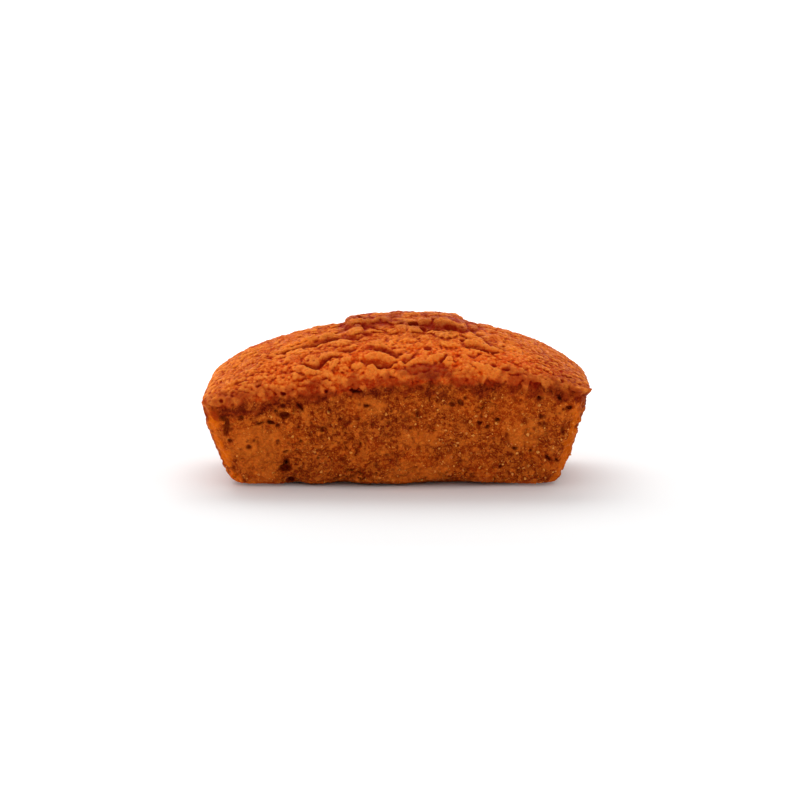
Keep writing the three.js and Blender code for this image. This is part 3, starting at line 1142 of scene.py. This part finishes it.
FLOOR_HALF_WIDTH = 12
FLOOR_BACK = 0.62  # the floor runs a little way under the backdrop
FLOOR_WHITE = 0.82
BACKDROP_FRONT = 0.6
BACKDROP_BACK = 3.0
BACKDROP_HEIGHT = 1.5
BACKDROP_WHITE = 0.5
BACKDROP_GLOW = 1.1
ROOM_LIGHT = 0.78

# The floor's glow sets in between two distances from the cake's middle, in steps.
FLOOR_GLOWS = ((0.016, 0.02, 0.1), (0.07, 0.16, 0.26))

# The lights: place, size and power. They all shine on the middle of the cake.
LIGHTS = {
    "softbox": ((-0.08, 0.28, 0.47), (0.5, 0.4), 1.65),
    "left_card": ((-0.45, 0.02, 0.05), (0.3, 0.1), 0.36),
    "right_card": ((0.45, 0.02, 0.05), (0.3, 0.1), 0.07),
}
LIT_PLACE = (0, 0, 0.02)


def make_sheet(name, outline, half_width, emission, brightness):
    """A white sheet along X whose profile is given as points [y, z] in metres."""
    corners = [(side * half_width, y, z) for y, z in outline for side in (-1, 1)]
    faces = [(i, i + 1, i + 3, i + 2) for i in range(0, len(corners) - 2, 2)]
    sheet = mesh_object(name, corners, faces)
    material, tree = new_material(name)
    shader = tree.nodes["Principled BSDF"]
    shader.inputs["Base Color"].default_value = (brightness, brightness, brightness, 1)
    shader.inputs["Roughness"].default_value = 0.8
    shader.inputs["Specular IOR Level"].default_value = 0.1
    shader.inputs["Emission Color"].default_value = (1, 1, 1, 1)
    shader.inputs["Emission Strength"].default_value = emission
    sheet.data.materials.append(material)
    return tree


def make_stage():
    """A white floor that glows more away from the cake, and a white backdrop."""
    floor = ((-FLOOR_HALF_WIDTH, 0), (FLOOR_BACK, 0))
    tree = make_sheet("floor", floor, FLOOR_HALF_WIDTH, 0.0, FLOOR_WHITE)
    place = add(tree, "ShaderNodeTexCoord").outputs["Object"]
    squeezed = add(tree, "ShaderNodeVectorMath", {0: place, 1: (0.5, 1, 0)}, operation="MULTIPLY")
    away = add(tree, "ShaderNodeVectorMath", {0: squeezed.outputs[0]}, operation="LENGTH").outputs["Value"]
    glows = []
    for start, full, strength in FLOOR_GLOWS:
        inputs = {"Value": away, "From Min": start, "From Max": full, "To Max": strength}
        glows.append(add(tree, "ShaderNodeMapRange", inputs).outputs["Result"])
    tree.links.new(maths(tree, "ADD", *glows), tree.nodes["Principled BSDF"].inputs["Emission Strength"])
    backdrop = ((BACKDROP_FRONT, 0.001), (BACKDROP_BACK, 0.001), (BACKDROP_BACK, BACKDROP_HEIGHT))
    make_sheet("backdrop", backdrop, BACKDROP_BACK, BACKDROP_GLOW, BACKDROP_WHITE)


def add_area_light(name, place, size, power):
    light = bpy.data.lights.new(name, "AREA")
    light.shape = "RECTANGLE"
    light.size, light.size_y = size
    light.energy = power
    lamp = bpy.data.objects.new(name, light)
    lamp.location = place
    lamp.rotation_euler = (Vector(LIT_PLACE) - Vector(place)).to_track_quat("-Z", "Y").to_euler()
    bpy.context.scene.collection.objects.link(lamp)


def light_scene():
    world = bpy.data.worlds.new("white_room")
    bpy.context.scene.world = world
    world.use_nodes = True
    background = world.node_tree.nodes["Background"]
    background.inputs["Color"].default_value = (1, 1, 1, 1)
    background.inputs["Strength"].default_value = ROOM_LIGHT
    for name, (place, size, power) in LIGHTS.items():
        add_area_light(name, place, size, power)
    bpy.context.scene.view_settings.view_transform = "Standard"


# The camera stands in front of the cake and looks slightly down on it.
CAMERA_DISTANCE = 560.0
CAMERA_ELEVATION = math.radians(10)
CAMERA_TARGET = (0.7, 0.0, 17.3)
CAMERA_LENS = 108.7


def add_camera():
    camera = bpy.data.cameras.new("camera")
    camera.lens = CAMERA_LENS
    camera.sensor_width = 36.0
    camera.clip_start = 0.01
    back = Vector((0, -math.cos(CAMERA_ELEVATION), math.sin(CAMERA_ELEVATION)))
    holder = bpy.data.objects.new("camera", camera)
    holder.location = (Vector(CAMERA_TARGET) + CAMERA_DISTANCE * back) * MM
    holder.rotation_euler = (-back).to_track_quat("-Z", "Y").to_euler()
    bpy.context.scene.collection.objects.link(holder)
    bpy.context.scene.camera = holder


make_grit(make_cake())
make_stage()
light_scene()
add_camera()
